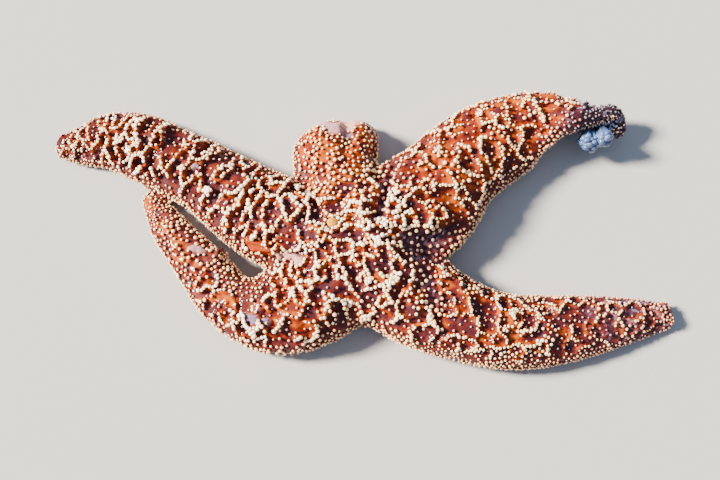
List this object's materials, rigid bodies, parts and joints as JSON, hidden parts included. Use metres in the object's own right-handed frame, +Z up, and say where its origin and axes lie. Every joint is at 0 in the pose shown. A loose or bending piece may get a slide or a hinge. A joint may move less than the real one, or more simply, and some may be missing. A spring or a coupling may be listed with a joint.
{
  "type": "ochre sea star",
  "caption": "Still life-size ochre sea star with orange skin, a net of pale rounded spines, a bent arm, a short forked arm and a raised, twisted arm tip.",
  "frame": {"origin": "middle of the animal's footprint on the floor", "axes": "+X along the longest way across the arms, towards the tips of arms D and E; +Y away from the viewer in plan, towards the short arm C; +Z up, away from the floor"},
  "size_m": [0.3061, 0.1444, 0.033],
  "materials": {
    "skin": "wet living skin, orange on the ridges and dark maroon in the sunken soft patches, slightly glossy",
    "spines": "cream white calcite spine heads under a thin wet film, orange at the base",
    "tube_feet": "soft translucent wet tube feet, pale yellow to bluish white",
    "mouth": "soft pale ochre membrane with a ring of short spines",
    "madreporite": "matt pale yellow sieve plate with fine radiating furrows"
  },
  "bodies": {
    "root": {"disc": "skin", "arm_a_near": "skin", "arm_a_far": "skin", "arm_b_near": "skin", "arm_b_far": "skin", "arm_c": "skin", "arm_d_near": "skin", "arm_d_far": "skin", "arm_e_near": "skin", "arm_e_far": "skin", "tube_feet_a": "tube_feet", "tube_feet_b": "tube_feet", "tube_feet_c": "tube_feet", "tube_feet_d": "tube_feet", "tube_feet_e": "tube_feet", "mouth": "mouth", "madreporite": "madreporite"}
  },
  "joints": []
}
